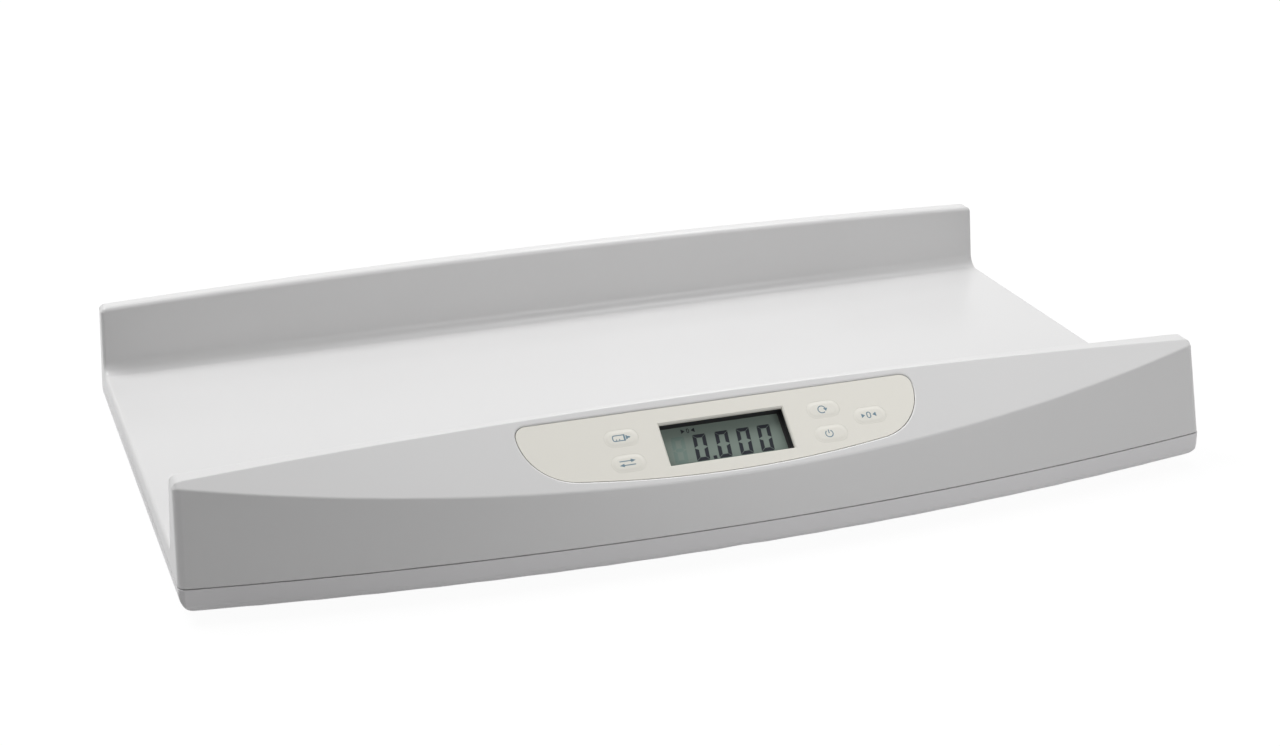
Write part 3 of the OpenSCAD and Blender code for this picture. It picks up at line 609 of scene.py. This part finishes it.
def make_key(name, centre):
    """Key cap that swells softly from its rim, its flange behind the panel and its stem."""
    bm = bmesh.new()
    flange_low = FLANGE_TOP - FLANGE_T
    rings = [
        (pill_outline(KEY_FLANGE), flange_low), (pill_outline(KEY_FLANGE), FLANGE_TOP),
        (pill_outline(CAP_GROW), FLANGE_TOP), (pill_outline(CAP_GROW), PANEL_TOP - 0.02),
    ]
    for k in range(1, PILLOW_STEPS + 1):
        rise = 0.5 - 0.5 * math.cos(math.pi * k / PILLOW_STEPS)
        outline = pill_outline(CAP_GROW - PILLOW_W * k / PILLOW_STEPS)
        rings.append((outline, PANEL_TOP + (CAP_TOP - PANEL_TOP) * rise))
    solid_of_rings(bm, centre, rings)
    solid_of_rings(bm, centre, [(round_outline(STEM_R), STEM_LOW), (round_outline(STEM_R), flange_low)])
    piece = finish_mesh(f"{name}_cap", bm, PANEL, f"{name}_key", [f"key_{name}"])
    piece.data.set_sharp_from_angle(angle=math.radians(50))


for name, centre in KEYS.items():
    make_key(name, centre)

# ---------- drawn marks ----------


def stroke(path, width):
    """Outline of a line of even width along an open path."""
    path = [Vector(q) for q in path]
    sides = ([], [])
    for i, q in enumerate(path):
        a = (q - path[i - 1]).normalized() if i else (path[1] - q).normalized()
        b = (path[i + 1] - q).normalized() if i + 1 < len(path) else a
        along = (a + b).normalized()
        reach = width / 2 / max(along.dot(a), 0.5)
        across = Vector((-along.y, along.x)) * reach
        sides[0].append(q + across)
        sides[1].append(q - across)
    return [tuple(q) for q in sides[0] + sides[1][::-1]]


def circle_stroke(centre, r, a0, a1, width, steps=20):
    return stroke([q for q, _ in arc(centre, r, a0, a1, steps)], width)


def mirrored(shapes):
    return [[(-u, v) for u, v in shape] for shape in shapes]


# Width of the marks' lines. Each mark is drawn round the middle of its key.
LINE = 0.52


def bottle_mark():
    """Feeding bottle lying on its side, with two measuring lines."""
    body = [
        (1.3, 1.55), (-3.7, 1.55), (-4.3, 1.2), (-4.5, 0.5),
        (-4.5, -0.5), (-4.3, -1.2), (-3.7, -1.55), (1.3, -1.55),
    ]
    collar = [(1.1, -1.85), (2.0, -1.85), (2.0, 1.85), (1.1, 1.85)]
    teat = [
        (2.3, -1.25), (2.9, -1.1), (3.3, -0.55), (4.3, -0.4), (4.6, 0.0),
        (4.3, 0.4), (3.3, 0.55), (2.9, 1.1), (2.3, 1.25),
    ]
    lines = [stroke([(x, -1.5), (x, -0.5)], 0.4) for x in (-2.8, -1.1)]
    return [stroke(body, LINE), collar, teat] + lines


def exchange_mark():
    """Two arrows, one each way."""
    upper = [stroke([(-4.0, 1.15), (2.4, 1.15)], LINE), [(1.9, 0.15), (4.4, 1.15), (1.9, 2.15)]]
    return upper + [[(-u, -v) for u, v in shape] for shape in upper]


def again_mark():
    """Turning arrow."""
    r = 2.0
    head = [(r - 1.2, 0.5), (r + 1.2, 0.5), (r, -1.2)]
    return [circle_stroke((0, 0), r, 12, 310, LINE, 32), head]


def power_mark():
    """The common sign for on and off."""
    return [circle_stroke((0, -0.1), 1.95, 122, 418, LINE, 32), stroke([(0, 0.1), (0, 2.2)], LINE)]


def nought(u, v, half_w, half_h, width):
    """Upright narrow nought."""
    bend = half_h - half_w
    return [
        circle_stroke((u, v + bend), half_w, -5, 185, width),
        circle_stroke((u, v - bend), half_w, 175, 365, width),
        stroke([(u + half_w, v - bend), (u + half_w, v + bend)], width),
        stroke([(u - half_w, v - bend), (u - half_w, v + bend)], width),
    ]


def zero_mark():
    """Nought between two pointers."""
    pointer = [[(2.0, 0.0), (4.0, 1.25), (4.0, -1.25)]]
    return nought(0, 0, 0.95, 1.6, LINE) + pointer + mirrored(pointer)


MARKS = {"feed": bottle_mark(), "unit": exchange_mark(), "reweigh": again_mark(), "power": power_mark(),
         "zero": zero_mark()}
MARK_SHIFTS = {"feed": (0.1, 0.1), "unit": (-0.5, 0.1), "reweigh": (-0.7, -0.1), "power": (-1.1, 0.1),
               "zero": (-0.6, 0.1)}

# ---------- display ----------


def flat_piece(name, shapes, height, thick, material, body):
    """Thin raised shapes on the facet: each is a list of [along, up] places round its outline."""
    bm = bmesh.new()
    for shape in shapes:
        low = ring(bm, [on_facet(u, v, height) for u, v in shape])
        high = ring(bm, [on_facet(u, v, height + thick) for u, v in shape])
        bridge(bm, low, high)
        bm.faces.new(high)
        bm.faces.new(list(reversed(low)))
    piece = finish_mesh(name, bm, material, body)
    piece.data.shade_flat()
    return piece


def leaned(shape, foot):
    return [(u + (v - foot) * DIGIT_LEAN, v) for u, v in shape]


def digit(left, segments):
    """Leaned outlines of a seven-segment figure that stands on DIGIT_FOOT, from the place left on."""
    t, gap, cut = STROKE_W, STROKE_GAP, STROKE_CUT
    x0, x1 = left, left + DIGIT_W
    y0, mid, y1 = DIGIT_FOOT, DIGIT_FOOT + DIGIT_H / 2, DIGIT_FOOT + DIGIT_H

    def bar(y, up):
        """Top or bottom segment."""
        return [
            (x0 + gap + cut, y), (x1 - gap - cut, y), (x1 - gap, y - up * cut),
            (x1 - t - gap, y - up * t), (x0 + t + gap, y - up * t), (x0 + gap, y - up * cut),
        ]

    def post(x, low, high, right, cut_low, cut_high):
        """Upright segment, whose inner edge is shorter by the cuts at its ends."""
        inner = x - right * t
        return [(x, low + gap), (x, high - gap), (inner, high - cut_high - gap), (inner, low + cut_low + gap)]

    shapes = {
        "a": bar(y1, 1),
        "d": bar(y0, -1),
        "b": post(x1, mid, y1 - cut, 1, t / 2, t - cut),
        "c": post(x1, y0 + cut, mid, 1, t - cut, t / 2),
        "f": post(x0, mid, y1 - cut, -1, t / 2, t - cut),
        "e": post(x0, y0 + cut, mid, -1, t - cut, t / 2),
        "g": [
            (x0 + gap + t / 2, mid), (x0 + t + gap, mid + t / 2), (x1 - t - gap, mid + t / 2),
            (x1 - gap - t / 2, mid), (x1 - t - gap, mid - t / 2), (x0 + t + gap, mid - t / 2),
        ],
    }
    return [leaned(shapes[k], DIGIT_FOOT) for k in segments]


def block(u0, u1, v0, v1):
    return [(u0, v0), (u1, v0), (u1, v1), (u0, v1)]


flat_piece("display_resting_segments", digit(RESTING_LEFT, "abcdefg"), GLASS_TOP, UNDER_INK_T, GHOST,
           "scale_body")

lit = [shape for left in LIT_LEFTS for shape in digit(left, "abcdef")]
lit.append(block(POINT_LEFT, POINT_RIGHT, DIGIT_FOOT, POINT_TOP))
for side in (-1, 1):
    tip, back = ZERO_AT[0] + side * POINTER_TIP, ZERO_AT[0] + side * POINTER_BACK
    lit.append([(tip, ZERO_AT[1]), (back, ZERO_AT[1] + POINTER_HALF_H), (back, ZERO_AT[1] - POINTER_HALF_H)])
lit += nought(*ZERO_AT, ZERO_HALF_W, ZERO_HALF_H, ZERO_LINE)
flat_piece("display_segments", lit, GLASS_TOP, INK_T, DIGIT, "scale_body")

# the display's own dark edge, round the field that shows
out_u, out_v = FIELD_U + EDGE_W, FIELD_V + EDGE_W
edge = [
    block(-out_u, out_u, FIELD_V, out_v), block(-out_u, out_u, -out_v, -FIELD_V),
    block(FIELD_U, out_u, -FIELD_V, FIELD_V), block(-out_u, -FIELD_U, -FIELD_V, FIELD_V),
]
flat_piece("display_edge", edge, GLASS_TOP, UNDER_INK_T, BLACK, "scale_body")

for name, (key_u, key_v) in KEYS.items():
    shift_u, shift_v = MARK_SHIFTS[name]
    drawn = [[(key_u + shift_u + u, key_v + shift_v + v) for u, v in shape] for shape in MARKS[name]]
    flat_piece(f"{name}_mark", drawn, CAP_TOP - 0.01, INK_T, LEGEND, f"{name}_key")

# ---------- stage, light and camera ----------

# Floor: what it throws back, how it looks near the object and how far out it turns white, in metres,
# and what is left of the shadows on it
FLOOR_GREY = 0.45
FLOOR_NEAR = 0.95
FADE_FROM, FADE_TO = 0.35, 0.8
FLOOR_SHADOW = 0.07
FLOOR_HALF = 6.0
FLOOR_DROP = 0.0002
ROOM_LIGHT = 0.05


def looked_at(nodes, links):
    """1 for the rays that show a surface: seen straight, mirrored or through glass."""
    path = nodes.new("ShaderNodeLightPath")
    seen = path.outputs["Is Camera Ray"]
    for kind in ("Is Glossy Ray", "Is Transmission Ray"):
        either = nodes.new("ShaderNodeMath")
        either.operation = "MAXIMUM"
        links.new(seen, either.inputs[0])
        links.new(path.outputs[kind], either.inputs[1])
        seen = either.outputs["Value"]
    return seen


def white_floor():
    """Grey for the light it throws back, nearly white where it is seen, with a faint shadow left."""
    mat = bpy.data.materials.new("floor_white")
    mat.use_nodes = True
    nodes, links = mat.node_tree.nodes, mat.node_tree.links
    bsdf = nodes["Principled BSDF"]
    bsdf.inputs["Base Color"].default_value = (FLOOR_GREY, FLOOR_GREY, FLOOR_GREY, 1)
    bsdf.inputs["Roughness"].default_value = 0.9
    bsdf.inputs["Specular IOR Level"].default_value = 0.0
    glow = nodes.new("ShaderNodeEmission")
    glow.inputs["Color"].default_value = (1, 1, 1, 1)
    # a little below white round the object, and white farther out
    place = nodes.new("ShaderNodeTexCoord")
    reach = nodes.new("ShaderNodeVectorMath")
    reach.operation = "LENGTH"
    fade = nodes.new("ShaderNodeMapRange")
    fade.inputs["From Min"].default_value = FADE_FROM
    fade.inputs["From Max"].default_value = FADE_TO
    fade.inputs["To Min"].default_value = FLOOR_NEAR
    fade.inputs["To Max"].default_value = 1.0
    links.new(place.outputs["Object"], reach.inputs[0])
    links.new(reach.outputs["Value"], fade.inputs["Value"])
    links.new(fade.outputs["Result"], glow.inputs["Strength"])
    shade = nodes.new("ShaderNodeBsdfDiffuse")
    shade.inputs["Color"].default_value = (FLOOR_SHADOW, FLOOR_SHADOW, FLOOR_SHADOW, 1)
    both = nodes.new("ShaderNodeAddShader")
    links.new(glow.outputs["Emission"], both.inputs[0])
    links.new(shade.outputs["BSDF"], both.inputs[1])
    mix = nodes.new("ShaderNodeMixShader")
    links.new(looked_at(nodes, links), mix.inputs["Fac"])
    links.new(bsdf.outputs["BSDF"], mix.inputs[1])
    links.new(both.outputs["Shader"], mix.inputs[2])
    # from below the floor is see-through, so that the underside can be looked at
    clear = nodes.new("ShaderNodeBsdfTransparent")
    side = nodes.new("ShaderNodeNewGeometry")
    one_way = nodes.new("ShaderNodeMixShader")
    links.new(side.outputs["Backfacing"], one_way.inputs["Fac"])
    links.new(mix.outputs["Shader"], one_way.inputs[1])
    links.new(clear.outputs["BSDF"], one_way.inputs[2])
    links.new(one_way.outputs["Shader"], nodes["Material Output"].inputs["Surface"])
    return mat


bm = bmesh.new()
bmesh.ops.create_grid(bm, x_segments=1, y_segments=1, size=FLOOR_HALF)
floor_mesh = bpy.data.meshes.new("floor")
bm.to_mesh(floor_mesh)
bm.free()
floor = bpy.data.objects.new("floor", floor_mesh)
floor.location.z = -FLOOR_DROP
floor_mesh.materials.append(white_floor())
bpy.context.collection.objects.link(floor)

world = bpy.data.worlds.new("studio")
bpy.context.scene.world = world
world.use_nodes = True
w_nodes, w_links = world.node_tree.nodes, world.node_tree.links
room = w_nodes["Background"]
room.inputs["Color"].default_value = (1, 1, 1, 1)
room.inputs["Strength"].default_value = ROOM_LIGHT
white = w_nodes.new("ShaderNodeBackground")
white.inputs["Color"].default_value = (1, 1, 1, 1)
white.inputs["Strength"].default_value = 1.0
w_mix = w_nodes.new("ShaderNodeMixShader")
w_links.new(looked_at(w_nodes, w_links), w_mix.inputs["Fac"])
w_links.new(room.outputs["Background"], w_mix.inputs[1])
w_links.new(white.outputs["Background"], w_mix.inputs[2])
w_links.new(w_mix.outputs["Shader"], w_nodes["World Output"].inputs["Surface"])


def softbox(name, azimuth, elevation, distance, power, share=0.5):
    """Square lamp aimed at the object, as wide as this share of its distance.

    Azimuth 0 is in front, 90 to the right. The distance is in metres and the power in watts."""
    a, e = math.radians(azimuth), math.radians(elevation)
    out = Vector((math.sin(a) * math.cos(e), -math.cos(a) * math.cos(e), math.sin(e)))
    light = bpy.data.lights.new(name, "AREA")
    light.shape = "SQUARE"
    light.size = distance * share
    light.energy = power
    lamp = bpy.data.objects.new(name, light)
    lamp.location = Vector((0, 0, 0.05)) + out * distance
    lamp.rotation_mode = "QUATERNION"
    lamp.rotation_quaternion = (-out).to_track_quat("-Z", "Y")
    bpy.context.collection.objects.link(lamp)


softbox("left_rear_high", 240, 60, 1.8, 22.0)
softbox("left_rear_low", 240, 12, 1.8, 4.0)
softbox("right_high", 120, 65, 1.0, 3.5)
softbox("right_side", 90, 35, 1.8, 2.2)
softbox("right_rear", 155, 42, 1.8, 2.6, share=0.2)
softbox("front_low", 20, 15, 1.0, 2.8)

# Camera fitted to the photograph: 19 degrees to the left of the front, 22 degrees up
cam_data = bpy.data.cameras.new("camera")
cam_data.sensor_width = 36.0
cam_data.lens = 65.048
camera = bpy.data.objects.new("camera", cam_data)
camera.location = Vector((-390.40, -1115.94, 508.40)) * M
YAW, PITCH, ROLL = 0.33608, 0.37530, -0.00690
look = Vector((math.sin(YAW) * math.cos(PITCH), math.cos(YAW) * math.cos(PITCH), -math.sin(PITCH)))
aim = look.to_track_quat("-Z", "Y")
camera.rotation_mode = "QUATERNION"
camera.rotation_quaternion = aim @ Euler((0, 0, ROLL)).to_quaternion()
cam_data.clip_start, cam_data.clip_end = 0.05, 30.0
bpy.context.collection.objects.link(camera)
bpy.context.scene.camera = camera
bpy.context.scene.view_settings.view_transform = "Standard"
